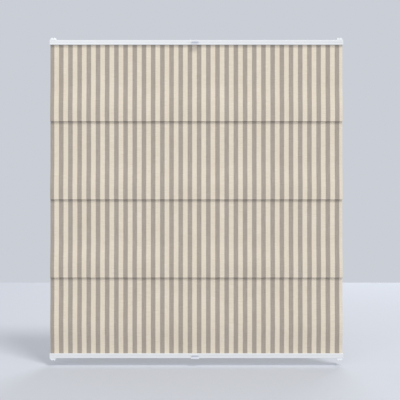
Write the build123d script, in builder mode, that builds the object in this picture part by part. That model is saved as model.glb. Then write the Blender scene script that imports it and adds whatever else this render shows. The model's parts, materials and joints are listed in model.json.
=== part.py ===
"""A roman blind held taut in front of a window sash, in millimetres.

The frame: +X to the right, +Y back towards the window, +Z up. The origin is on the sash's
front face, at its top edge, midway along it. Both rails slide by hand on tension cords that
run between four brackets clamped over the sash's edges.
"""

import os

from build123d import *

os.makedirs("parts", exist_ok=True)

# Sash
sash_height = 1431.0
sash_thickness = 18.0

# Rails and their end caps
rail_length = 1320.0
rail_depth = 22.0
rail_height = 21.0
rail_wall = 1.2
rail_front_wall = 1.8
rail_corner = 1.5
rail_to_shoe = 0.3
groove_height = 3.0
groove_depth = 0.8
cap_plate = 2.0
cap_edge = 0.8
cap_plug = 10.0
cap_wall = 1.4
cap_fit = 0.2

# Cloth and its folds
cloth_inset = 2.5
cloth_thickness = 1.0
cloth_setback = 9.5
cloth_clearance = 0.3
hem_length = 15.0
fold_count = 3
first_fold = 364.0
fold_pitch = 351.5
lip_depth = 2.8
lip_bend = 1.3
seam_rise = 7.0
tunnel_bend = 2.5
rod_rise = 14.0
flare_start = 170.0
flare_end = 40.0
belly_depth = 6.0
belly_height = 120.0

# Stripes woven into the cloth
stripe_pitch = 41.4
stripe_width = 20.5
first_stripe = 17.5
stripe_relief = 0.2
stripe_gap = 0.005

# Retaining strips and rods
strip_width = 4.4
strip_thickness = 1.6
strip_fit = 0.2
strip_inset = 3.5
rod_diameter = 4.0
rod_inset = 3.5

# Cord guides and rings
cord_inset = 17.0
guide_radius = 2.5
guide_bore = 1.3
guide_flange_radius = 3.4
guide_flange = 0.8
guide_fit = 0.05
ring_radius = 4.0
ring_bore = 2.2
ring_height = 2.4
shank_width = 7.0
shank_height = 8.0
shank_thickness = 1.2
shank_neck = 2.4

# Clamp brackets
bracket_width = 19.0
bracket_arm = 2.6
bracket_corner = 1.2
front_leg_reach = 11.5
front_leg_depth = 7.5
front_leg_height = 20.0
rear_leg_wall = 2.5
rear_leg_height = 14.0
rail_clearance = 1.0
rib_wall = 2.0
rib_height = 2.4
rib_inset = 2.0

# Clamp screws, nuts and pads
screw_radius = 3.0
screw_hole_radius = 3.3
screw_recess = 1.0
screw_drop = 10.0
screw_fit = 0.05
socket_width = 3.0
socket_depth = 2.5
nut_side = 10.0
nut_thickness = 4.0
nut_fit = 0.1
nut_wall = 1.0
pad_radius = 5.0
pad_thickness = 2.5
pad_floor = 1.0
grip_pad_thickness = 1.0
grip_pad_width = 15.0
grip_pad_height = 10.0
grip_pad_drop = 8.0

# Tension shoes and their screws
shoe_height = 10.5
shoe_inner_base = 11.0
shoe_inner_top = 8.2
shoe_outer_top = 9.0
shoe_shoulder = 8.3
shoe_wall = 1.8
shoe_fit = 0.15
horn_spread = 5.7
horn_tip = 1.6
horn_bend = 0.6
notch_width = 6.4
notch_depth = 3.5
cord_hole_radius = 1.6
shoe_screw_radius = 1.5
shoe_screw_head_radius = 2.8
shoe_screw_head = 1.6
shoe_screw_setback = 8.0
shoe_screw_end = 0.3
shoe_screw_fit = 0.1
cross_width = 0.8
cross_length = 3.4
cross_depth = 0.8

# Finger grips
grip_width = 36.0
grip_top_width = 31.0
grip_offset = -6.3
grip_drop = 6.0
grip_overhang = 1.0
grip_reach = 12.0
grip_ledge = 7.5
grip_rim = 2.4
grip_hollow = 0.4
grip_wall = 1.8
grip_arch = 1.6
grip_tongue = 0.6
grip_fit = 0.1

# Places that follow from the sizes above
rail_top = -rail_to_shoe
rail_bottom = rail_top - rail_height
rail_middle = (rail_top + rail_bottom) / 2
rail_back = -(front_leg_reach + rail_clearance)
rail_front = rail_back - rail_depth
extrusion_end = rail_length / 2 - cap_plate
cord_x = rail_length / 2 - cord_inset
cloth_width = rail_length - 2 * cloth_inset
strip_length = cloth_width - 2 * strip_inset
rod_length = cloth_width - 2 * rod_inset
sash_middle = Plane.XY.offset(-sash_height / 2)
cloth_side = Plane.YZ.offset(-cloth_width / 2)
lower_rail_top = -sash_height - rail_bottom

slot_y = rail_front + cloth_setback
slot_width = 2 * (cloth_thickness + cloth_clearance)
hem_width = strip_width + 2 * (strip_fit + cloth_thickness)
hem_height = strip_thickness + 2 * (strip_fit + cloth_thickness)
channel_width = hem_width + 2 * cloth_clearance
channel_height = hem_height + 2 * cloth_clearance
channel_middle = rail_bottom + rail_wall + channel_height / 2
channel_back = slot_y + channel_width / 2 + rail_wall
cord_y = (channel_back + rail_back - rail_wall) / 2
channel_top = rail_bottom + channel_height + 2 * rail_wall
plug_middle = (channel_top + rail_top - rail_wall) / 2
plug_height = rail_top - rail_wall - channel_top - 2 * (cap_fit + cap_wall)
plug_width = rail_depth - rail_front_wall - rail_wall - 2 * (cap_fit + cap_wall)

panel_y = slot_y - cloth_thickness / 2
rod_bend = rod_diameter / 2 + cloth_clearance + cloth_thickness / 2
rod_y = panel_y - rod_bend
middle_y = rod_y - rod_bend
lip_y = middle_y - lip_depth
fold_levels = [-first_fold - fold_pitch * fold for fold in range(fold_count)]
rod_levels = [level + rod_rise for level in fold_levels]

front_leg_front = -front_leg_reach
front_leg_back = front_leg_front + front_leg_depth
rear_leg_front = sash_thickness + grip_pad_thickness
rear_leg_back = rear_leg_front + rear_leg_wall
nut_y = front_leg_back - nut_wall - nut_thickness / 2
screw_front = front_leg_front + screw_recess
screw_back = -pad_floor - screw_fit
shelf_front = rail_front + shoe_wall
notch_floor = shoe_height - notch_depth
shoe_screw_y = rail_front + shoe_screw_setback


def at_corner(piece, corner):
    """Carry a piece drawn for the upper right to the named place by mirroring it."""
    if "left" in corner:
        piece = piece.mirror(Plane.YZ)
    if "lower" in corner:
        piece = piece.mirror(sash_middle)
    return piece


def write(piece, name):
    """Name a finished piece and write it to its own file."""
    piece.label = name
    export_step(piece, f"parts/{name}.step")


# The rail's hollow, which the end cap's plug also fits
with BuildSketch(Plane.YZ) as rail_hollow:
    with Locations((rail_front + rail_front_wall, rail_middle)):
        Rectangle(
            rail_depth - rail_front_wall - rail_wall,
            rail_height - 2 * rail_wall,
            align=(Align.MIN, Align.CENTER),
        )
    with Locations((slot_y, rail_bottom)):
        Rectangle(
            channel_width + 2 * rail_wall,
            channel_height + 2 * rail_wall,
            align=(Align.CENTER, Align.MIN),
            mode=Mode.SUBTRACT,
        )

# Rail: an extrusion with a channel for the cloth's hem and a groove for the finger grip
with BuildPart() as rail:
    with BuildSketch(Plane.YZ):
        with Locations(((rail_front + rail_back) / 2, rail_middle)):
            RectangleRounded(rail_depth, rail_height, rail_corner)
        add(rail_hollow.sketch_local, mode=Mode.SUBTRACT)
        with Locations((slot_y, channel_middle)):
            Rectangle(channel_width, channel_height, mode=Mode.SUBTRACT)
        with Locations((slot_y, rail_bottom)):
            Rectangle(slot_width, 3 * rail_wall, mode=Mode.SUBTRACT)
        with Locations((rail_front, rail_middle)):
            Rectangle(2 * groove_depth, groove_height, mode=Mode.SUBTRACT)
    extrude(amount=extrusion_end, both=True)
    with BuildSketch(Plane.XY.offset(rail_top)):
        with Locations((-cord_x, cord_y), (cord_x, cord_y)):
            Circle(guide_radius + guide_fit)
    extrude(amount=-rail_height, mode=Mode.SUBTRACT)

# End cap: a plate over the rail's end, with a hollow plug that holds it there
with BuildPart() as end_cap:
    with BuildSketch(Plane.YZ.offset(extrusion_end)):
        with Locations(((rail_front + rail_back) / 2, rail_middle)):
            RectangleRounded(rail_depth, rail_height, rail_corner)
    extrude(amount=cap_plate)
    chamfer(end_cap.faces().sort_by(Axis.X)[-1].edges(), cap_edge)
    with BuildSketch(Plane.YZ.offset(extrusion_end)):
        add(rail_hollow.sketch_local)
        offset(amount=-cap_fit, kind=Kind.INTERSECTION, mode=Mode.REPLACE)
        with Locations(((rail_front + rail_front_wall + rail_back - rail_wall) / 2, plug_middle)):
            Rectangle(plug_width, plug_height, mode=Mode.SUBTRACT)
    extrude(amount=-cap_plug)

# Retaining strip: the flat bar inside the cloth's hem, held in the rail's channel
with BuildPart() as retaining_strip:
    with BuildSketch(Plane.YZ):
        with Locations((slot_y, channel_middle)):
            Rectangle(strip_width, strip_thickness)
    extrude(amount=strip_length / 2, both=True)

# Cord guide: a flanged tube through the rail, flush with the rail's outer face
with BuildPart() as cord_guide:
    with BuildSketch(Plane.XY.offset(rail_top)):
        with Locations((cord_x, cord_y)):
            Circle(guide_radius)
    extrude(amount=-rail_height)
    with BuildSketch(Plane.XY.offset(rail_bottom)):
        with Locations((cord_x, cord_y)):
            Circle(guide_flange_radius)
    extrude(amount=-guide_flange)
    with BuildSketch(Plane.XY.offset(rail_top)):
        with Locations((cord_x, cord_y)):
            Circle(guide_bore)
    extrude(amount=-rail_height - guide_flange, mode=Mode.SUBTRACT)

for level in ("upper", "lower"):
    write(at_corner(rail.part, level), f"{level}_rail")
    write(at_corner(retaining_strip.part, level), f"{level}_retaining_strip")
    for side in ("left", "right"):
        corner = f"{level}_{side}"
        write(at_corner(end_cap.part, corner), f"{corner}_end_cap")
        write(at_corner(cord_guide.part, corner), f"{corner}_cord_guide")


def finger_grip(level):
    """A scooped grip on the front of the rail whose top is at level, keyed into its groove."""
    top = level - grip_drop
    rail_edge = level - rail_height
    bottom = rail_edge - grip_overhang
    ledge_y = rail_front - grip_ledge
    lip = rail_front - grip_reach
    with BuildPart() as grip:
        with BuildSketch(Plane.YZ.offset(grip_offset)):
            with BuildLine():
                Line((rail_front, top), (ledge_y, top))
                Line((ledge_y, top), (ledge_y, top - grip_rim))
                ThreePointArc(
                    (ledge_y, top - grip_rim),
                    (rail_front - grip_wall, (top + bottom) / 2),
                    (lip, bottom + grip_rim),
                )
                Line((lip, bottom + grip_rim), (lip, bottom))
                ThreePointArc(
                    (lip, bottom),
                    (rail_front - grip_reach / 2, bottom + grip_hollow),
                    (rail_front, rail_edge + grip_wall),
                )
                Line((rail_front, rail_edge + grip_wall), (rail_front, top))
            make_face()
        extrude(amount=grip_width / 2, both=True)
        with BuildSketch(Plane.XZ.offset(-rail_front)):
            with BuildLine():
                Line(
                    (grip_offset - grip_width / 2, bottom),
                    (grip_offset - grip_top_width / 2, top - grip_arch),
                )
                ThreePointArc(
                    (grip_offset - grip_top_width / 2, top - grip_arch),
                    (grip_offset, top),
                    (grip_offset + grip_top_width / 2, top - grip_arch),
                )
                Line(
                    (grip_offset + grip_top_width / 2, top - grip_arch),
                    (grip_offset + grip_width / 2, bottom),
                )
                Line(
                    (grip_offset + grip_width / 2, bottom),
                    (grip_offset - grip_width / 2, bottom),
                )
            make_face()
        extrude(amount=grip_reach, mode=Mode.INTERSECT)
        with BuildSketch(Plane.YZ.offset(grip_offset)):
            with Locations((rail_front, level - rail_height / 2)):
                Rectangle(
                    grip_tongue,
                    groove_height - 2 * grip_fit,
                    align=(Align.MIN, Align.CENTER),
                )
        extrude(amount=grip_top_width / 2, both=True)
    return grip.part


write(finger_grip(rail_top), "upper_finger_grip")
write(finger_grip(lower_rail_top), "lower_finger_grip")


def hem(strip_level, neck_end):
    """Draw a hem looped round a retaining strip, with its doubled neck out through the slot."""
    with Locations((slot_y, strip_level)):
        RectangleRounded(hem_width, hem_height, cloth_thickness)
    with Locations((slot_y, (strip_level + neck_end) / 2)):
        Rectangle(2 * cloth_thickness, abs(strip_level - neck_end))
    with Locations((slot_y, strip_level)):
        Rectangle(
            strip_width + 2 * strip_fit,
            strip_thickness + 2 * strip_fit,
            mode=Mode.SUBTRACT,
        )


def panel(top, fold_level):
    """Corners and bends of a panel: down and forward to its lip, then back to the seam."""
    lip_level = fold_level + cloth_thickness / 2
    corners = [
        (panel_y, top),
        (panel_y, fold_level + flare_start),
        (lip_y, fold_level + flare_end),
        (lip_y, lip_level),
        (middle_y, lip_level),
        (panel_y, fold_level + seam_rise),
    ]
    return corners, [0, 0, lip_bend, lip_bend]


def rod_tunnel(fold_level):
    """Corners and bends of the tunnel round a rod, from its seam over the rod and down."""
    crest = fold_level + rod_rise + rod_bend
    corners = [
        (panel_y, fold_level + seam_rise),
        (middle_y, fold_level + seam_rise + rod_bend),
        (middle_y, crest),
        (panel_y, crest),
        (panel_y, fold_level + rod_rise),
    ]
    return corners, [lip_bend, tunnel_bend, tunnel_bend]


# Last panel: slack between its rod and the lower rail, so it leans forward in a shallow belly
last_panel = [
    (panel_y, rod_levels[-1]),
    (panel_y, fold_levels[-1] - belly_height / 2),
    (panel_y - belly_depth, lower_rail_top + belly_height),
    (panel_y, lower_rail_top + hem_length),
    (panel_y, lower_rail_top),
]

# Cloth: one sheet from hem to hem, with three pleats
panel_tops = [rail_bottom] + rod_levels[:-1]
with BuildPart() as shade_cloth:
    with BuildSketch(cloth_side):
        for top, fold_level in zip(panel_tops, fold_levels):
            for corners, bends in (panel(top, fold_level), rod_tunnel(fold_level)):
                with BuildLine():
                    FilletPolyline(*corners, radius=bends)
                trace(line_width=cloth_thickness)
        with BuildLine():
            Polyline(*last_panel)
        trace(line_width=cloth_thickness)
        hem(channel_middle, rail_bottom - hem_length)
        hem(-sash_height - channel_middle, lower_rail_top + hem_length)
    extrude(amount=cloth_width, clean=False)
write(shade_cloth.part, "shade_cloth")

# Taupe stripes: a skin on the face of each panel, cut into bands
skin_y = -(cloth_thickness + stripe_relief) / 2 - stripe_gap
faces = []
for top, fold_level in zip([rail_bottom - cloth_clearance] + fold_levels, fold_levels):
    corners, bends = panel(top, fold_level)
    faces.append(corners[:3] + [(lip_y, fold_level + cloth_thickness / 2 + lip_bend)])
faces.append([(panel_y, fold_levels[-1])] + last_panel[1:])

cloth_edge = cloth_width / 2
stripe_edges = [(-cloth_edge, first_stripe - cloth_edge)]
stripe_left = first_stripe - cloth_edge + stripe_pitch - stripe_width
while stripe_left < cloth_edge:
    stripe_edges.append((stripe_left, min(stripe_left + stripe_width, cloth_edge)))
    stripe_left += stripe_pitch

with BuildPart() as woven_stripes:
    for corners in faces:
        with BuildSketch(cloth_side):
            with BuildLine():
                Polyline(*[(y + skin_y, z) for y, z in corners])
            trace(line_width=stripe_relief)
        extrude(amount=cloth_width)
    with BuildSketch(Plane.XZ):
        for left, right in stripe_edges:
            with Locations((left, 0)):
                Rectangle(right - left, sash_height, align=(Align.MIN, Align.MAX))
    extrude(amount=-2 * lip_y, mode=Mode.INTERSECT)
write(woven_stripes.part, "woven_stripes")


def cord_ring(level):
    """A ring for the tension cord, on a shank that is sewn to the back of a pleat."""
    shank_face = panel_y + cloth_thickness / 2 + cloth_clearance
    with BuildPart() as ring:
        with BuildSketch(Plane.XY.offset(level - ring_height / 2)):
            with Locations((cord_x, cord_y)):
                Circle(ring_radius)
            with Locations((cord_x, shank_face)):
                Rectangle(shank_neck, cord_y - shank_face, align=(Align.CENTER, Align.MIN))
            with Locations((cord_x, cord_y)):
                Circle(ring_bore, mode=Mode.SUBTRACT)
        extrude(amount=ring_height)
        with BuildSketch(Plane.XZ.offset(-shank_face)):
            with Locations((cord_x, level)):
                Rectangle(shank_width, shank_height)
        extrude(amount=-shank_thickness)
    return ring.part


# Rods, one in each pleat, with a ring near each end
for number, level in enumerate(rod_levels, start=1):
    with BuildPart() as rod:
        with BuildSketch(Plane.YZ):
            with Locations((rod_y, level)):
                Circle(rod_diameter / 2)
        extrude(amount=rod_length / 2, both=True)
    write(rod.part, f"fold_rod_{number}")
    for side in ("left", "right"):
        write(at_corner(cord_ring(level), side), f"cord_ring_{number}_{side}")

# Clamp bracket: a hook over the sash's edge, with a shelf above the rail for the shoe
bracket_corners = [
    (shelf_front, 0),
    (front_leg_front, 0),
    (front_leg_front, -front_leg_height),
    (front_leg_back, -front_leg_height),
    (front_leg_back, 0),
    (rear_leg_front, 0),
    (rear_leg_front, -rear_leg_height),
    (rear_leg_back, -rear_leg_height),
    (rear_leg_back, bracket_arm),
    (shelf_front, bracket_arm),
]
bracket_bends = [0, 0, bracket_corner, bracket_corner, 0, 0, 0, bracket_corner, bracket_arm, 0]

with BuildPart() as clamp_bracket:
    with BuildSketch(Plane.YZ.offset(cord_x)):
        with BuildLine():
            FilletPolyline(*bracket_corners, radius=bracket_bends, close=True)
        make_face()
    extrude(amount=bracket_width / 2, both=True)
    with BuildSketch(Plane.YZ.offset(cord_x)):
        with BuildLine():
            Polyline(
                (front_leg_front + rib_height, bracket_arm),
                (front_leg_front + 2 * rib_height, bracket_arm + rib_height),
                (rear_leg_front - rib_height, bracket_arm + rib_height),
                (rear_leg_front, bracket_arm),
                close=True,
            )
        make_face()
    extrude(amount=bracket_width / 2 - rib_inset, both=True)
    with BuildSketch(Plane.YZ.offset(cord_x)):
        with Locations((0, bracket_arm)):
            Rectangle(
                2 * rear_leg_back, 2 * rib_height, align=(Align.CENTER, Align.MIN)
            )
    extrude(amount=bracket_width / 2 - rib_inset - rib_wall, both=True, mode=Mode.SUBTRACT)
    with BuildSketch(Plane.XZ.offset(front_leg_reach)):
        with Locations((cord_x, -screw_drop)):
            Circle(screw_hole_radius)
    extrude(amount=-front_leg_depth, mode=Mode.SUBTRACT)
    with BuildSketch(Plane.XY.offset(-front_leg_height)):
        with Locations((cord_x, nut_y)):
            Rectangle(nut_side + 2 * nut_fit, nut_thickness + 2 * nut_fit)
    extrude(
        amount=front_leg_height - screw_drop + nut_side / 2 + nut_fit, mode=Mode.SUBTRACT
    )
    with BuildSketch(Plane.XY):
        with Locations((cord_x, cord_y)):
            Circle(cord_hole_radius)
        with Locations((cord_x, shoe_screw_y)):
            Circle(shoe_screw_radius + screw_fit)
    extrude(amount=bracket_arm, mode=Mode.SUBTRACT)

# Grip pad: rubber on the inner face of the rear leg
with BuildPart() as grip_pad:
    with BuildSketch(Plane.XZ.offset(-sash_thickness)):
        with Locations((cord_x, -grip_pad_drop)):
            Rectangle(grip_pad_width, grip_pad_height)
    extrude(amount=-grip_pad_thickness)

# Clamp nut: square, held against turning by its pocket in the front leg
with BuildPart() as clamp_nut:
    with BuildSketch(Plane.XZ.offset(nut_thickness / 2 - nut_y)):
        with Locations((cord_x, -screw_drop)):
            Rectangle(nut_side, nut_side)
            Circle(screw_radius + screw_fit, mode=Mode.SUBTRACT)
    extrude(amount=-nut_thickness)

# Clamp screw: a grub screw with a hexagon socket, its end in the pressure pad
with BuildPart() as clamp_screw:
    with BuildSketch(Plane.XZ.offset(-screw_front)):
        with Locations((cord_x, -screw_drop)):
            Circle(screw_radius)
    extrude(amount=screw_front - screw_back)
    with BuildSketch(Plane.XZ.offset(-screw_front)):
        with Locations((cord_x, -screw_drop)):
            RegularPolygon(socket_width / 2, 6, major_radius=False)
    extrude(amount=-socket_depth, mode=Mode.SUBTRACT)

# Pressure pad: a cup against the sash, swivelling on the screw's end
with BuildPart() as pressure_pad:
    with BuildSketch(Plane.XZ):
        with Locations((cord_x, -screw_drop)):
            Circle(pad_radius)
    extrude(amount=pad_thickness)
    with BuildSketch(Plane.XZ.offset(pad_floor)):
        with Locations((cord_x, -screw_drop)):
            Circle(screw_radius + screw_fit)
    extrude(amount=pad_thickness, mode=Mode.SUBTRACT)

# Tension shoe: a cap over the bracket's shelf, with two horns that the cord's knot sits between
shoe_corners = [
    (-shoe_inner_base, 0),
    (cord_inset, 0),
    (shoe_outer_top, shoe_shoulder),
    (horn_spread + horn_tip / 2, shoe_height),
    (horn_spread - horn_tip / 2, shoe_height),
    (notch_width / 2, notch_floor),
    (-notch_width / 2, notch_floor),
    (horn_tip / 2 - horn_spread, shoe_height),
    (-horn_tip / 2 - horn_spread, shoe_height),
    (-shoe_inner_top, shoe_shoulder),
]
shoe_bends = [0, 0, 2 * horn_bend] + 2 * [horn_bend] + 2 * [0] + 2 * [horn_bend] + [2 * horn_bend]

with BuildPart() as tension_shoe:
    with BuildSketch(Plane.XZ.offset(-rail_back)):
        with BuildLine():
            FilletPolyline(
                *[(cord_x + x, z) for x, z in shoe_corners], radius=shoe_bends, close=True
            )
        make_face()
    extrude(amount=rail_depth)
    with BuildSketch(Plane.XY):
        with Locations((cord_x, shelf_front - shoe_fit)):
            Rectangle(
                bracket_width + 2 * shoe_fit, rail_depth, align=(Align.CENTER, Align.MIN)
            )
    extrude(amount=bracket_arm + shoe_fit, mode=Mode.SUBTRACT)
    with BuildSketch(Plane.XY):
        with Locations((cord_x, cord_y)):
            Circle(cord_hole_radius)
        with Locations((cord_x, shoe_screw_y)):
            Circle(shoe_screw_radius + shoe_screw_fit)
    extrude(amount=shoe_height, mode=Mode.SUBTRACT)
    with BuildSketch(Plane.XY.offset(notch_floor)):
        with Locations((cord_x, shoe_screw_y)):
            Circle(shoe_screw_head_radius + shoe_screw_fit)
    extrude(amount=-shoe_screw_head, mode=Mode.SUBTRACT)

# Shoe screw: a pan-head screw down through the shoe into the shelf
with BuildPart() as shoe_screw:
    with BuildSketch(Plane.XY.offset(notch_floor)):
        with Locations((cord_x, shoe_screw_y)):
            Circle(shoe_screw_head_radius)
    extrude(amount=-shoe_screw_head)
    with BuildSketch(Plane.XY.offset(shoe_screw_end)):
        with Locations((cord_x, shoe_screw_y)):
            Circle(shoe_screw_radius)
    extrude(amount=notch_floor - shoe_screw_head - shoe_screw_end)
    with BuildSketch(Plane.XY.offset(notch_floor)):
        with Locations((cord_x, shoe_screw_y)):
            Rectangle(cross_length, cross_width)
            Rectangle(cross_width, cross_length)
    extrude(amount=-cross_depth, mode=Mode.SUBTRACT)

corner_pieces = {
    "clamp_bracket": clamp_bracket,
    "grip_pad": grip_pad,
    "clamp_nut": clamp_nut,
    "clamp_screw": clamp_screw,
    "pressure_pad": pressure_pad,
    "tension_shoe": tension_shoe,
    "shoe_screw": shoe_screw,
}
for corner in ("upper_left", "upper_right", "lower_left", "lower_right"):
    for name, piece in corner_pieces.items():
        write(at_corner(piece.part, corner), f"{corner}_{name}")
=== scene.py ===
# %% [markdown]
# # A striped roman blind, held taut on a window sash
# The blind is a woven cloth between two sliding rails. Three rods lie in pleats across it, and
# four small brackets clamp it to the sash. The rails, brackets and screws come from the packed
# model as they are, and get their finishes here. The cloth is made anew, because a soft thing
# needs soft curves and a weave.

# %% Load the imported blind
import json
import math

import bpy
import numpy as np
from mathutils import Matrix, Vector


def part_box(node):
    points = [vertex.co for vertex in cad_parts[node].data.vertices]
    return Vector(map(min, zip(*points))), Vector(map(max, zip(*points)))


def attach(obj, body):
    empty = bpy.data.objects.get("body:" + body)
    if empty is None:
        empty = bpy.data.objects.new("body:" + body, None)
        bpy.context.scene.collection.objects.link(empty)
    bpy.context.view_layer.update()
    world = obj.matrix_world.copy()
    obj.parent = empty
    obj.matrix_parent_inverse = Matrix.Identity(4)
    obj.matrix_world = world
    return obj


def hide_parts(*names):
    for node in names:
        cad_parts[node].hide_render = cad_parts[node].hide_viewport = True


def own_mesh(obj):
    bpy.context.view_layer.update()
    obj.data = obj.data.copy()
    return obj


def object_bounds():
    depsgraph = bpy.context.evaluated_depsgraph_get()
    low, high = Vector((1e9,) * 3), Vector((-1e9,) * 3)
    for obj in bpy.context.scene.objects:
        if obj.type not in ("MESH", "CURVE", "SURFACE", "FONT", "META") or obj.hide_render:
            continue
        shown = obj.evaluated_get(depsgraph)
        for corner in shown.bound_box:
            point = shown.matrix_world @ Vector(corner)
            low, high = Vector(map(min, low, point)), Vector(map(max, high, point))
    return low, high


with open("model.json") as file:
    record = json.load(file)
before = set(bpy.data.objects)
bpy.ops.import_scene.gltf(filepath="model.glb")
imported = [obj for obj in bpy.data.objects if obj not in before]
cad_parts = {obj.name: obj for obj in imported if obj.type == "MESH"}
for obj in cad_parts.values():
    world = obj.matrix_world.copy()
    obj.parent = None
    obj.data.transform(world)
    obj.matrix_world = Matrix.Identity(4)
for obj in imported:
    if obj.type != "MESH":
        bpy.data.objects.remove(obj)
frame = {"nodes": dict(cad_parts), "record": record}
cad_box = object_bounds()
MM = 0.001
print("box of the packed blind:", [tuple(round(v, 4) for v in corner) for corner in cad_box])

# %% [markdown]
# ## Where the cloth runs
# Each rod lies in a tunnel of cloth, so every place on the cloth can be counted from a rod: the
# panels hang just behind the rods, and the lips of the pleats stand in front. Reading the rods'
# places from the frame keeps the cloth and the rods together if the blind changes.

# %% Places on the cloth, in metres
cloth_low, cloth_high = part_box("shade_cloth")
rail_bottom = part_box("upper_rail")[0].z
lower_rail_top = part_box("lower_rail")[1].z
strip_low, strip_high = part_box("upper_retaining_strip")
lower_strip_low, lower_strip_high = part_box("lower_retaining_strip")


def middle(box):
    """The point halfway between a box's two corners."""
    return (box[0] + box[1]) / 2


rods = [middle(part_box(f"fold_rod_{number}")) for number in (1, 2, 3)]
rod_step = 2.8 * MM  # from a rod's middle to the cloth's middle, and from there to the lip
rod_y = rods[0].y
panel_y = rod_y + rod_step
tunnel_y = rod_y - rod_step
lip_y = tunnel_y - rod_step
fold_drop = 16.2 * MM  # from a rod's middle down to the lip's fold
seam_rise = 9.2 * MM  # from the fold up to the tunnel's seam
split_rise = 5 * MM  # a panel ends this far above a rod's middle, in front
split_drop = 2 * MM  # the next panel starts this far below the fold, behind
cloth_thickness = 0.8 * MM
folds = [rod.z - fold_drop for rod in rods]

# %% [markdown]
# ## Helpers for colour and for nodes
# Colours are written as sRGB hex values, as a paint maker gives them, and turned to the linear
# values that Blender works in. One helper adds any shader node with its settings and links.


# %% Colour and node helpers
def linear(hex_colour):
    """sRGB hex to linear RGBA: each channel c becomes ((c + 0.055) / 1.055) to the power 2.4."""
    channels = np.array([int(hex_colour[i : i + 2], 16) for i in (1, 3, 5)]) / 255
    low, high = channels / 12.92, ((channels + 0.055) / 1.055) ** 2.4
    return (*np.where(channels <= 0.04045, low, high).tolist(), 1.0)


def node(tree, kind, settings=None, **inputs):
    """Add a node, set its own settings, and fill each named input with a value or a socket."""
    made = tree.nodes.new(kind)
    for name, value in (settings or {}).items():
        setattr(made, name, value)
    for name, value in inputs.items():
        key = int(name[1:]) if name[1:].isdigit() else name.replace("_", " ")
        socket = made.inputs[key]
        if isinstance(value, bpy.types.NodeSocket):
            tree.links.new(value, socket)
        else:
            socket.default_value = value
    return made


def math_node(tree, operation, first, second=0.0, clamp=False):
    """One sum on two numbers or sockets, and its result's socket."""
    settings = {"operation": operation, "use_clamp": clamp}
    return node(tree, "ShaderNodeMath", settings, _0=first, _1=second).outputs[0]


def blend_colours(tree, share, first, second, kind="MIX"):
    """Mix two colours by a share, and give the result's socket."""
    mixed = node(tree, "ShaderNodeMix", {"data_type": "RGBA", "blend_type": kind})
    for key, value in ((0, share), (6, first), (7, second)):
        if isinstance(value, bpy.types.NodeSocket):
            tree.links.new(value, mixed.inputs[key])
        else:
            mixed.inputs[key].default_value = value
    return mixed.outputs[2]


def new_material(name):
    """An empty node material with its surface shader, as (material, tree, shader)."""
    material = bpy.data.materials.new(name)
    material.use_nodes = True
    tree = material.node_tree
    tree.nodes.clear()
    shader = node(tree, "ShaderNodeBsdfPrincipled")
    node(tree, "ShaderNodeOutputMaterial", Surface=shader.outputs[0])
    return material, tree, shader


# %% [markdown]
# ## Hard finishes
# All of these share one build: a base colour with a little variation, a roughness that wanders,
# and a fine bump. What differs is the real material behind each, so each one names its own
# colours, its grain size in millimetres and its depth.


# %% Painted, moulded and plated finishes
cloud_size = 60 * MM
grain_low, grain_high = 0.35, 0.65  # nearly all of the grain noise lies between these


def hard_finish(name, colours, grain, depth, roughness, metallic=0.0, ior=1.5, stretch=(1, 1, 1)):
    """A hard surface: two near colours mixed by a soft noise, and a grain of the given size."""
    material, tree, shader = new_material(name)
    place = node(tree, "ShaderNodeTexCoord").outputs["Object"]
    stretched = node(tree, "ShaderNodeMapping", Vector=place, Scale=stretch).outputs[0]
    cloudy = node(tree, "ShaderNodeTexNoise", Vector=place, Scale=1 / cloud_size, Detail=3.0)
    grainy = node(
        tree, "ShaderNodeTexNoise", Vector=stretched, Scale=1 / (grain * MM), Detail=4.0
    )
    colour = blend_colours(
        tree, cloudy.outputs["Fac"], linear(colours[0]), linear(colours[1])
    )
    low, high = roughness
    rough = node(
        tree, "ShaderNodeMapRange", Value=grainy.outputs["Fac"],
        From_Min=grain_low, From_Max=grain_high, To_Min=low, To_Max=high,
    )
    bump = node(
        tree, "ShaderNodeBump", Height=grainy.outputs["Fac"], Distance=depth * MM, Strength=0.6
    )
    tree.links.new(colour, shader.inputs["Base Color"])
    tree.links.new(rough.outputs[0], shader.inputs["Roughness"])
    tree.links.new(bump.outputs[0], shader.inputs["Normal"])
    shader.inputs["Metallic"].default_value = metallic
    if not metallic:
        shader.inputs["IOR"].default_value = ior
    return material


# Powder coat on extruded aluminium: a satin, faintly cool white with a fine orange peel
powder_coat = hard_finish("white_powder_coat", ("#DEE0E3", "#D8DBDE"), 1.2, 0.03, (0.3, 0.42))
# Powder coat on a zinc casting: the same paint over a coarser, cast skin
cast_coat = hard_finish("white_cast_coat", ("#E2E5E8", "#D9DDE1"), 0.8, 0.05, (0.4, 0.55))
# Moulded ABS: semi-gloss, a spark-eroded mould's fine texture
moulded_abs = hard_finish("white_moulded_abs", ("#E7EAEE", "#E0E4E9"), 0.35, 0.02, (0.32, 0.45))
# The grips get a greyer, matt, finer-grained white than the other mouldings; the grey is painted
# shade, for the shade that falls in the grips' scoops
grip_abs_painted_shade = hard_finish("grip_abs_with_painted_shade", ("#D6D9E1", "#CED1DA"), 0.3, 0.03, (0.5, 0.62))
# Pultruded glass fibre: fibres run along the rod, so the grain is stretched along X
glass_fibre = hard_finish(
    "glass_fibre_rod", ("#DAD8CE", "#C9C7BC"), 0.4, 0.03, (0.35, 0.5), stretch=(0.02, 1, 1)
)
# Zinc plate on steel: a bluish, softly mottled metal
zinc_plate = hard_finish(
    "zinc_plated_steel", ("#B9BDC2", "#9DA2A8"), 0.5, 0.02, (0.28, 0.45), metallic=1.0
)
# Moulded rubber: near black, matt, with a dusty grain
moulded_rubber = hard_finish("black_rubber", ("#35363A", "#2A2B2E"), 0.5, 0.05, (0.75, 0.9))


# %% [markdown]
# Nylon is the one hard material here that lets light in. A little subsurface scattering gives
# the milky look of the cord rings and retaining strips.

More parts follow.
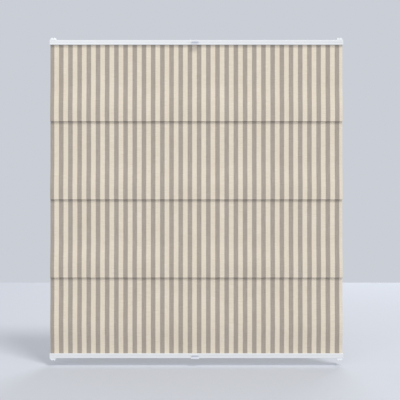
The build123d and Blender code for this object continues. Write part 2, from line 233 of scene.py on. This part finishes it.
# %% Milky nylon
milky_nylon = hard_finish("milky_nylon", ("#E6E6E1", "#DCDCD6"), 0.4, 0.02, (0.3, 0.42), ior=1.53)
nylon_shader = milky_nylon.node_tree.nodes["Principled BSDF"]
nylon_shader.inputs["Subsurface Weight"].default_value = 0.35
nylon_shader.inputs["Subsurface Radius"].default_value = (1.0, 0.95, 0.9)
nylon_shader.inputs["Subsurface Scale"].default_value = 1.5 * MM

# %% [markdown]
# ## The cloth's stripes and weave
# The stripes are woven in with dyed warp threads, so they run the whole way along the cloth,
# pleats and all. Each piece of cloth carries a UV map in metres: across from the left edge, and
# along from the top hem. The pattern is worked out from that map, so it goes round every fold
# and stays with the cloth when the blind moves. Slubs, the thick places in a spun thread, are
# noises drawn out along the warp and along the weft.

# %% Woven cloth, in millimetres
stripe_pitch = 41.4
taupe_width = 20.5
taupe_start = -3.0
stripe_blur = 0.25  # to each side of a stripe's edge
fray = 0.6  # how far the edge wanders from thread to thread
thread_pitch = 1.1  # the real threads are about 0.5 mm apart, too fine to show from here
thread_relief = 0.05


def woven_cloth():
    """Plain-woven polyester in cream and taupe: a stripe mask, slubs and a thread bump."""
    material, tree, shader = new_material("striped_woven_polyester")
    uv = node(tree, "ShaderNodeUVMap", {"uv_map": "cloth"}).outputs[0]
    split = node(tree, "ShaderNodeSeparateXYZ", Vector=uv).outputs
    across = math_node(tree, "MULTIPLY", split[0], 1 / MM)
    along = math_node(tree, "MULTIPLY", split[1], 1 / MM)

    def slubs(width, length, detail=3.0):
        """Noise with cells of the given size in millimetres across and along the cloth."""
        place = node(
            tree, "ShaderNodeCombineXYZ",
            X=math_node(tree, "DIVIDE", across, width), Y=math_node(tree, "DIVIDE", along, length),
        )
        return node(
            tree, "ShaderNodeTexNoise", {"noise_dimensions": "2D"}, Vector=place.outputs[0],
            Scale=1.0, Detail=detail, Roughness=0.6,
        ).outputs["Fac"]

    waver = math_node(tree, "MULTIPLY", math_node(tree, "SUBTRACT", slubs(0.8, 3.0), 0.5), fray)
    shifted = math_node(tree, "ADD", math_node(tree, "SUBTRACT", across, taupe_start), waver)
    in_pitch = math_node(tree, "FLOORED_MODULO", shifted, stripe_pitch)
    from_middle = math_node(
        tree, "ABSOLUTE", math_node(tree, "SUBTRACT", in_pitch, taupe_width / 2)
    )
    taupe = node(
        tree, "ShaderNodeMapRange", Value=from_middle, From_Min=taupe_width / 2 - stripe_blur,
        From_Max=taupe_width / 2 + stripe_blur, To_Min=1.0, To_Max=0.0,
    ).outputs[0]

    warp_slubs = slubs(1.4, 55.0)
    weft_slubs = slubs(38.0, 1.3)
    clouds = slubs(90.0, 140.0, 2.0)
    cream = blend_colours(tree, warp_slubs, linear("#E3DACA"), linear("#F3EBDE"))
    brown = blend_colours(tree, warp_slubs, linear("#9A928A"), linear("#C1BAB2"))
    dyed = blend_colours(tree, taupe, cream, brown)
    weft = blend_colours(tree, weft_slubs, linear("#DCD7D0"), linear("#FFFFFF"))
    woven = blend_colours(tree, 1.0, dyed, weft, "MULTIPLY")
    tone = blend_colours(tree, clouds, linear("#F6F4F0"), linear("#FFFFFF"))
    colour = blend_colours(tree, 1.0, woven, tone, "MULTIPLY")
    tree.links.new(colour, shader.inputs["Base Color"])

    turn = 2 * math.pi / thread_pitch
    warp = math_node(tree, "SINE", math_node(tree, "MULTIPLY", across, turn))
    weft_wave = math_node(tree, "SINE", math_node(tree, "MULTIPLY", along, turn))
    threads = math_node(tree, "MULTIPLY", warp, weft_wave)
    relief = math_node(tree, "ADD", threads, math_node(tree, "MULTIPLY", warp_slubs, 1.2))
    bump = node(tree, "ShaderNodeBump", Height=relief, Distance=thread_relief * MM, Strength=0.7)
    tree.links.new(bump.outputs[0], shader.inputs["Normal"])
    shader.inputs["Roughness"].default_value = 0.88
    shader.inputs["IOR"].default_value = 1.45
    shader.inputs["Sheen Weight"].default_value = 0.12
    shader.inputs["Sheen Roughness"].default_value = 0.5
    return material


striped_cloth = woven_cloth()
print("stripes every", stripe_pitch, "mm, taupe", taupe_width, "mm wide")

# %% [markdown]
# ## A sheet of cloth from a line
# Seen from the side, the cloth is one long line: down each panel, round each lip, over each rod.
# Carrying that line from the left edge to the right gives the sheet. The line is worked out as
# whole arrays: straight runs and arcs for the pleats, and an easing curve where a panel leans
# forward to its lip.


# %% Lines in the plane of Y and Z
def eased(start, end, share):
    """Go from start to end as share goes from 0 to 1, by the cubic 3 s squared less 2 s cubed."""
    share = np.clip(share, 0, 1)
    return start + (end - start) * share * share * (3 - 2 * share)


def rounded_line(corners, bends, arc_points=9):
    """Straight runs joined by arcs. At a corner that turns by an angle a, an arc of radius r
    starts r tan(a / 2) before the corner, and its centre lies r off the incoming run."""
    corners = np.array(corners, float)
    line = [corners[:1]]
    for before, corner, after, bend in zip(corners, corners[1:], corners[2:], bends):
        arriving = (corner - before) / np.linalg.norm(corner - before)
        leaving = (after - corner) / np.linalg.norm(after - corner)
        side = arriving[0] * leaving[1] - arriving[1] * leaving[0]
        turn = math.atan2(side, arriving @ leaving)
        start = corner - arriving * bend * abs(math.tan(turn / 2))
        inward = math.copysign(1, turn) * np.array([-arriving[1], arriving[0]])
        angles = np.linspace(0, abs(turn), arc_points)[:, None]
        line.append(start + bend * (np.sin(angles) * arriving + (1 - np.cos(angles)) * inward))
    return np.vstack(line + [corners[-1:]])


def spaced(line, gap):
    """Put extra points along a line so that no run is longer than gap."""
    lengths = np.linalg.norm(np.diff(line, axis=0), axis=1)
    travelled = np.concatenate([[0], np.cumsum(lengths)])
    extra = np.arange(gap, travelled[-1], gap)
    stations = np.unique(np.round(np.concatenate([travelled, extra]), 7))
    return np.column_stack([np.interp(stations, travelled, line[:, i]) for i in (0, 1)])


# %% [markdown]
# Real cloth is never quite flat. A few long, shallow waves, under a millimetre deep, catch the
# light the way hanging cloth does. They fade out at the rails and at the pleats, where the cloth
# is held, and they all go forward.


# %% Cloth pieces
ripple_depth = 0.8 * MM
columns = 150  # the same for every piece, so that they meet point to point
crease_angle = math.radians(50)


def ripples(x, share):
    """Shallow waves: a sum of sines of x, from 0 to ripple_depth forward, whose phase drifts
    down the cloth and which a squared sine fades out at both ends."""
    waves = (
        np.sin(x / 0.071 + 1.3 * share)
        + 0.7 * np.sin(x / 0.038 + 2.1 - 2.4 * share)
        + 0.5 * np.sin(x / 0.125 - 0.6 + 0.8 * share)
    )
    return ripple_depth * (waves / 2.2 - 1) / 2 * np.sin(np.pi * share) ** 2


def cloth_piece(name, line, body, along=0.0, rippled=False):
    """Carry a line of (y, z) points across the cloth's width, as a closed sheet with thickness.

    Each point is moved half a thickness to both sides, along the line's normal. The UV map counts
    metres across, and metres along from the top hem, where the piece starts at along."""
    slope = np.gradient(line, axis=0)
    slope /= np.linalg.norm(slope, axis=1)[:, None]
    normal = np.column_stack([slope[:, 1], -slope[:, 0]])
    count = len(line)
    back, front = line + normal * cloth_thickness / 2, line - normal * cloth_thickness / 2
    loop = np.vstack([back, front[::-1]])
    x = np.linspace(cloth_low.x, cloth_high.x, columns)
    travelled = np.concatenate([[0], np.cumsum(np.linalg.norm(np.diff(line, axis=0), axis=1))])
    around = np.concatenate([travelled, travelled[::-1]])

    points = np.empty((columns, 2 * count, 3))
    points[:, :, 0] = x[:, None]
    points[:, :, 1] = loop[None, :, 0]
    points[:, :, 2] = loop[None, :, 1]
    if rippled:
        points[:, :, 1] += ripples(x[:, None], (around / travelled[-1])[None, :])

    column, row = np.meshgrid(np.arange(columns - 1), np.arange(2 * count), indexing="ij")
    following = (row + 1) % (2 * count)
    skin = np.stack(
        [column * 2 * count + row, column * 2 * count + following,
         (column + 1) * 2 * count + following, (column + 1) * 2 * count + row], axis=-1,
    ).reshape(-1, 4)
    step = np.arange(count - 1)
    left = np.stack([step, 2 * count - 1 - step, 2 * count - 2 - step, step + 1], axis=-1)
    right = left[:, ::-1] + (columns - 1) * 2 * count
    quads = np.vstack([skin, left, right])

    mesh = bpy.data.meshes.new(name)
    mesh.from_pydata(points.reshape(-1, 3).tolist(), [], quads.tolist())
    corners = np.empty(len(mesh.loops), dtype=np.int32)
    mesh.loops.foreach_get("vertex_index", corners)
    across = np.repeat(x - cloth_low.x, 2 * count)
    down = np.tile(around + along, columns)
    uv = mesh.uv_layers.new(name="cloth")
    uv.uv.foreach_set("vector", np.column_stack([across[corners], down[corners]]).ravel())
    mesh.shade_smooth()
    mesh.set_sharp_from_angle(angle=crease_angle)
    mesh.materials.append(striped_cloth)
    piece = bpy.data.objects.new(name, mesh)
    bpy.context.collection.objects.link(piece)
    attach(piece, body)
    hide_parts("shade_cloth", "woven_stripes")
    print(name, "is", round(travelled[-1] / MM, 1), "mm along the cloth,", len(quads), "faces")
    return piece, along + travelled[-1]


# %% [markdown]
# ## Hems, panels and pleats
# The cloth is one sheet on the real blind. Here it is made in nine pieces that meet edge to
# edge, because each moves in its own way: the hems go with the rails, each pleat goes with its
# rod, and each panel goes with the body of a pleat beside it.

# %% How far the pieces travel
behaviour = frame["record"]["behaviour"]
travel = {joint["name"]: max(map(abs, joint["range_m"])) for joint in behaviour["joints"]}
rise = travel["lower_rail_slide"]
shares = {coupling["joint"]: coupling["ratio"] for coupling in behaviour["couplings"]}
rises = [0.0, rise * shares["second_fold_slide"], rise * shares["third_fold_slide"], rise]
pleat_bodies = ["sash_clamps", "second_fold", "third_fold"]
print("at the top of its travel the lower rail has risen", rise, "m and the rods", rises[1:3])

# %% The line of a hem
hem_flap = 15 * MM
strip_gap = 0.7 * MM  # from a strip's face to the middle of the cloth round it
flap_gap = 1.0 * MM  # from the panel to the flap, middle to middle
slot_bend = 0.45 * MM
strip_bend = 0.6 * MM


def hem_line(strip, edge, flap_end):
    """From the panel's edge in through the rail's slot, round the strip, and out to the flap."""
    low, high = strip
    near, far = low.z - strip_gap, high.z + strip_gap
    if edge > low.z:
        near, far = far, near
    front, back = low.y - strip_gap, high.y + strip_gap
    flap_y = panel_y + flap_gap
    corners = [
        (panel_y, edge), (panel_y, near), (front, near), (front, far),
        (back, far), (back, near), (flap_y, near), (flap_y, flap_end),
    ]
    return rounded_line(corners, [slot_bend] + 4 * [strip_bend] + [slot_bend])


# %% The line of a panel
panel_rows = 90
lean_high = 170 * MM  # above the fold, where a panel starts to lean forward
lean_low = 40 * MM  # above the fold, where it has reached the lips' plane


def panel_line(top, fold, bottom):
    """Straight down, then eased forward from the panels' plane to the lips' plane."""
    z = np.linspace(top, bottom, panel_rows)
    lean_start, lean_end = fold + lean_high, fold + lean_low
    return np.column_stack([eased(panel_y, lip_y, (lean_start - z) / (lean_start - lean_end)), z])


# %% The line of a pleat
lip_lift = 0.5 * MM  # the line's middle runs this far above the fold
lip_bend = 1.3 * MM
seam_gap = 0.95 * MM  # at the seam, the pleat's line and the panel's are this far apart
seam_bend = 0.45 * MM
tunnel_bend = 2.5 * MM


def pleat_line(rod):
    """Down the face, round the lip, back to the seam, over the rod, and down behind it."""
    fold = rod.z - fold_drop
    lip, seam, crest = fold + lip_lift, fold + seam_rise, rod.z + rod_step
    corners = [
        (lip_y, rod.z + split_rise), (lip_y, lip), (tunnel_y, lip),
        (panel_y - seam_gap, seam), (tunnel_y, seam + rod_step), (tunnel_y, crest),
        (panel_y, crest), (panel_y, fold - split_drop),
    ]
    bends = [lip_bend, lip_bend, seam_bend, lip_bend, tunnel_bend, tunnel_bend]
    return rounded_line(corners, bends)


# %% The line of the last panel
belly_depth = 6 * MM
belly_start = 60 * MM  # below the last fold
belly_height = 120 * MM  # above the lower rail, where the belly is deepest
belly_end = 15 * MM  # above the lower rail


def last_panel_line(top, bottom):
    """Down to the lower rail, leaning forward in a shallow belly and back again."""
    z = np.linspace(top, bottom, panel_rows)
    start, deepest, end = folds[-1] - belly_start, bottom + belly_height, bottom + belly_end
    out = eased(0, belly_depth, (start - z) / (start - deepest))
    back = eased(0, belly_depth, (deepest - z) / (deepest - end))
    return np.column_stack([panel_y - (out - back), z])


# %% Make the cloth from the top hem to the bottom one
pleat_spacing = 4 * MM
_, along = cloth_piece(
    "top_hem", hem_line((strip_low, strip_high), rail_bottom, rail_bottom - hem_flap)[::-1],
    "upper_rail_unit",
)

panel_top = rail_bottom
for number, (rod, body, risen) in enumerate(zip(rods, pleat_bodies, rises), start=1):
    fold, bottom = rod.z - fold_drop, rod.z + split_rise
    panel, along = cloth_piece(
        f"cloth_panel_{number}", panel_line(panel_top, fold, bottom),
        pleat_bodies[max(number - 2, 0)], along, rippled=True,
    )
    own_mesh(panel)
    _, along = cloth_piece(
        f"cloth_pleat_{number}", spaced(pleat_line(rod), pleat_spacing), body, along,
    )
    panel_top = fold - split_drop

last_panel, along = cloth_piece(
    "cloth_panel_4", last_panel_line(panel_top, lower_rail_top), "third_fold", along,
    rippled=True,
)
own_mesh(last_panel)
_, along = cloth_piece(
    "bottom_hem",
    hem_line((lower_strip_low, lower_strip_high), lower_rail_top, lower_rail_top + hem_flap),
    "lower_rail_unit", along,
)
print("the cloth is", round(along, 4), "m long when laid flat")

# %% [markdown]
# ## Seam stitches
# Each rod's tunnel is closed by a row of lock stitches, which shows on the back of the cloth. A
# stitch is a short swollen thread, and one small shape repeated along the seam is enough.

# %% Stitches along the three seams
stitch_pitch = 3.2 * MM
stitch_length = 2.5 * MM
stitch_radius = 0.28 * MM
seam_end = 8 * MM  # the row stops this far from the cloth's edges
rings, spokes = 6, 6
thread = hard_finish("cream_thread", ("#E9E2D3", "#DDD4C2"), 0.3, 0.05, (0.7, 0.85))


def stitch_row(name, level, body):
    """Spindles along X: at each share t along a stitch, the radius is r sin(pi t) to the 0.6."""
    share = np.linspace(0.02, 0.98, rings)
    angle = np.linspace(0, 2 * np.pi, spokes + 1)[:-1]
    radius = stitch_radius * np.sin(np.pi * share) ** 0.6
    start = np.arange(cloth_low.x + seam_end, cloth_high.x - seam_end, stitch_pitch)
    x = start[:, None, None] + (share * stitch_length)[None, :, None] + 0 * angle
    y = panel_y + cloth_thickness / 2 + radius[None, :, None] * np.cos(angle) + 0 * x
    z = level + radius[None, :, None] * np.sin(angle) + 0 * x
    points = np.stack([x, y, z], axis=-1).reshape(-1, 3)
    ring, spoke = np.meshgrid(np.arange(rings - 1), np.arange(spokes), indexing="ij")
    one = np.stack(
        [ring * spokes + spoke, ring * spokes + (spoke + 1) % spokes,
         (ring + 1) * spokes + (spoke + 1) % spokes, (ring + 1) * spokes + spoke], axis=-1,
    ).reshape(-1, 4)[:, ::-1]
    first = rings * spokes * np.arange(len(start))[:, None, None]  # each stitch's first point
    sides = (one[None] + first).reshape(-1, 4)
    ends = np.array([range(spokes), range(rings * spokes - 1, (rings - 1) * spokes - 1, -1)])
    caps = (ends[None] + first).reshape(-1, spokes)
    mesh = bpy.data.meshes.new(name)
    mesh.from_pydata(points.tolist(), [], sides.tolist() + caps.tolist())
    mesh.shade_smooth()
    mesh.materials.append(thread)
    row = bpy.data.objects.new(name, mesh)
    bpy.context.collection.objects.link(row)
    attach(row, body)


for number, (fold, body) in enumerate(zip(folds, pleat_bodies), start=1):
    stitch_row(f"seam_stitches_{number}", fold + seam_rise, body)

# %% [markdown]
# ## Finishes for the imported pieces
# The rails, caps, brackets and fasteners keep their shapes. Each gets the finish of what it is
# made of, chosen by the end of its name; the grips' finish is also greyed as painted shade.

# %% Give every imported piece its finish
finishes = {
    "_rail": powder_coat,
    "clamp_bracket": cast_coat,
    "tension_shoe": moulded_abs,
    "finger_grip": grip_abs_painted_shade,
    "end_cap": moulded_abs,
    "cord_guide": moulded_abs,
    "retaining_strip": milky_nylon,
    "cord_ring": milky_nylon,
    "fold_rod": glass_fibre,
    # the grips' greyer white is painted shade for the shade in their scoops
    "clamp_nut": zinc_plate,
    "clamp_screw": zinc_plate,
    "shoe_screw": zinc_plate,
    "grip_pad": moulded_rubber,
    "pressure_pad": moulded_rubber,
}
for name, piece in frame["nodes"].items():
    found = [finish for part, finish in finishes.items() if part in name]
    if found:
        piece.data.materials.clear()
        piece.data.materials.append(found[0])
print(len(frame["nodes"]), "packed pieces have their finishes")

# %% [markdown]
# ## Floor and light
# The blind hangs by itself in a pale studio. The floor lies just below it. The world is a plain
# pale tone to the camera and in reflections, and gives an even light. A large soft lamp at the
# upper right models the lips of the pleats, a weaker one fills from the left, and a third stands
# behind, where the window would be, so the brackets and the seams show from the back.

# %% Floor
backdrop_tone = "#CACED6"
floor_tone = "#C0C4CC"  # darker than the backdrop, because the lamps light it too
floor_drop = 25 * MM
floor_half = 4.0
floor_level = cad_box[0].z - floor_drop
floor_mesh = bpy.data.meshes.new("studio_floor")
floor_mesh.from_pydata(
    [(-floor_half, -floor_half, floor_level), (floor_half, -floor_half, floor_level),
     (floor_half, floor_half, floor_level), (-floor_half, floor_half, floor_level)],
    [], [(0, 1, 2, 3)],
)
floor = bpy.data.objects.new("studio_floor", floor_mesh)
bpy.context.collection.objects.link(floor)
floor_paint = hard_finish("floor_paint", (floor_tone, floor_tone), 4.0, 0.02, (0.85, 0.9))
floor_mesh.materials.append(floor_paint)

# %% World and lamps
world = bpy.data.worlds.new("pale_studio")
bpy.context.scene.world = world
world.use_nodes = True
sky = world.node_tree
sky.nodes.clear()
rays = node(sky, "ShaderNodeLightPath").outputs
seen = math_node(sky, "MAXIMUM", rays["Is Camera Ray"], rays["Is Glossy Ray"])
seen = math_node(sky, "MAXIMUM", seen, rays["Is Transmission Ray"])
plain = node(sky, "ShaderNodeBackground", Color=linear(backdrop_tone), Strength=1.0)
glow = node(sky, "ShaderNodeBackground", Color=linear("#FAFBFD"), Strength=0.67)
both = node(sky, "ShaderNodeMixShader", _0=seen, _1=glow.outputs[0], _2=plain.outputs[0])
node(sky, "ShaderNodeOutputWorld", Surface=both.outputs[0])


def soft_lamp(name, place, target, size, power, colour="#FFFFFF"):
    """A square area lamp at place, turned to face target."""
    lamp = bpy.data.lights.new(name, "AREA")
    lamp.size = size
    lamp.energy = power
    lamp.color = linear(colour)[:3]
    holder = bpy.data.objects.new(name, lamp)
    holder.location = place
    holder.rotation_euler = (Vector(target) - Vector(place)).to_track_quat("-Z", "Y").to_euler()
    bpy.context.collection.objects.link(holder)


centre = middle(cad_box)
soft_lamp("key_lamp", (6.2, -10.5, 15.0), centre, 5.2, 2100.0, "#FFFDF9")
soft_lamp("fill_lamp", (-3.2, -8.8, 2.2), centre, 4.8, 195.0)
soft_lamp("window_lamp", (2.0, 7.0, 3.2), centre, 4.4, 220.0, "#F6F9FF")

# %% [markdown]
# ## Camera
# The picture is taken straight on, from about four metres. Its frame is 1.8 metres wide at the
# blind, and the blind hangs a little left of the middle.

# %% Camera
picture_width = 1.8023
picture_distance = 4.0
sensor = 36.0
camera = bpy.data.objects.new("camera", bpy.data.cameras.new("camera"))
camera.data.sensor_width = sensor
camera.data.lens = sensor * picture_distance / picture_width
camera.location = (0.0161, panel_y - picture_distance, -0.7195)
camera.rotation_euler = (math.pi / 2, 0, 0)
bpy.context.collection.objects.link(camera)
bpy.context.scene.camera = camera
bpy.context.scene.view_settings.view_transform = "Standard"
